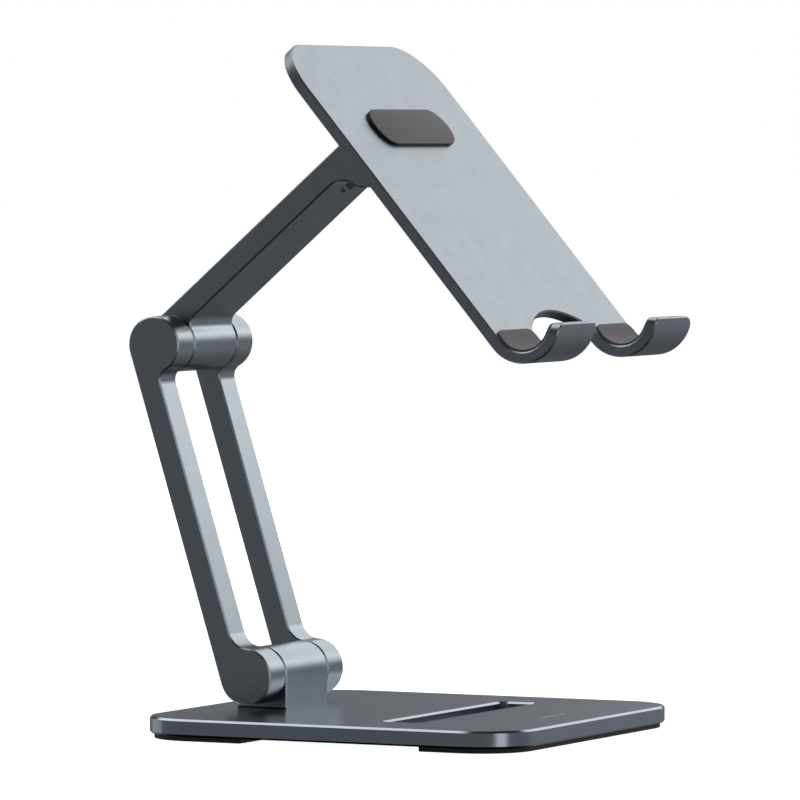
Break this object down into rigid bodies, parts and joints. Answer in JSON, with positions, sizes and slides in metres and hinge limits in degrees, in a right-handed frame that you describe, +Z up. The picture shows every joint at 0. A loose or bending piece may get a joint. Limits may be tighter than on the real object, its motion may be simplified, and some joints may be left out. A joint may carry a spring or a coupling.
{
  "type": "phone stand",
  "caption": "Folding desk stand for a phone, grey anodised aluminium: slotted base, two friction-hinged arms and a tilting holder plate with padded hooks",
  "frame": {"origin": "the point on the table straight below the lower hinge's axis and midway between the side bars, on the underside of the rear foot", "axes": "+Z is up. -Y is the front, the side that the phone's screen faces. +X is to the right of someone who faces the screen, and it runs along all three hinge axes."},
  "size_m": [0.0996, 0.1262, 0.1682],
  "materials": {
    "base_metal": "fine bead-blasted and anodised dark grey",
    "arm_metal": "fine bead-blasted and anodised dark grey",
    "holder_metal": "fine bead-blasted and anodised grey",
    "foot_silicone": "matt black silicone",
    "pad_silicone": "matt dark grey silicone",
    "screw_steel": "dark plated steel",
    "washer_nylon": "black nylon",
    "sleeve_bronze": "plain bearing bronze"
  },
  "bodies": {
    "base": {"base_plate": "base_metal", "front_foot": "foot_silicone", "rear_foot": "foot_silicone", "pedestal": "arm_metal", "pedestal_screws": "screw_steel", "lower_hinge_sleeve": "sleeve_bronze"},
    "lower_arm": {"left_bar": "arm_metal", "right_bar": "arm_metal", "lower_hinge_screw": "screw_steel", "lower_hinge_spring_washers": "screw_steel", "lower_hinge_friction_washers": "washer_nylon", "elbow_screw": "screw_steel", "elbow_spring_washers": "screw_steel", "elbow_friction_washers": "washer_nylon"},
    "upper_arm": {"upper_arm": "arm_metal", "elbow_sleeve": "sleeve_bronze", "holder_pin": "screw_steel", "holder_spring_washer": "screw_steel", "holder_friction_washers": "washer_nylon"},
    "holder": {"holder_plate": "holder_metal", "hinge_tongue": "arm_metal", "tongue_screws": "screw_steel", "plate_pad": "pad_silicone", "left_hook_pad": "pad_silicone", "right_hook_pad": "pad_silicone"}
  },
  "joints": [
    {"name": "lower_hinge", "type": "hinge", "parent": "base", "child": "lower_arm", "pos_m": [0, 0, 0.0136], "axis": [1, 0, 0], "range_deg": [-35, 25]},
    {"name": "elbow", "type": "hinge", "parent": "lower_arm", "child": "upper_arm", "pos_m": [0, 0.02542, 0.09471], "axis": [1, 0, 0], "range_deg": [-60, 25]},
    {"name": "holder_hinge", "type": "hinge", "parent": "upper_arm", "child": "holder", "pos_m": [0, -0.02819, 0.1405], "axis": [1, 0, 0], "range_deg": [-85, 70]}
  ]
}
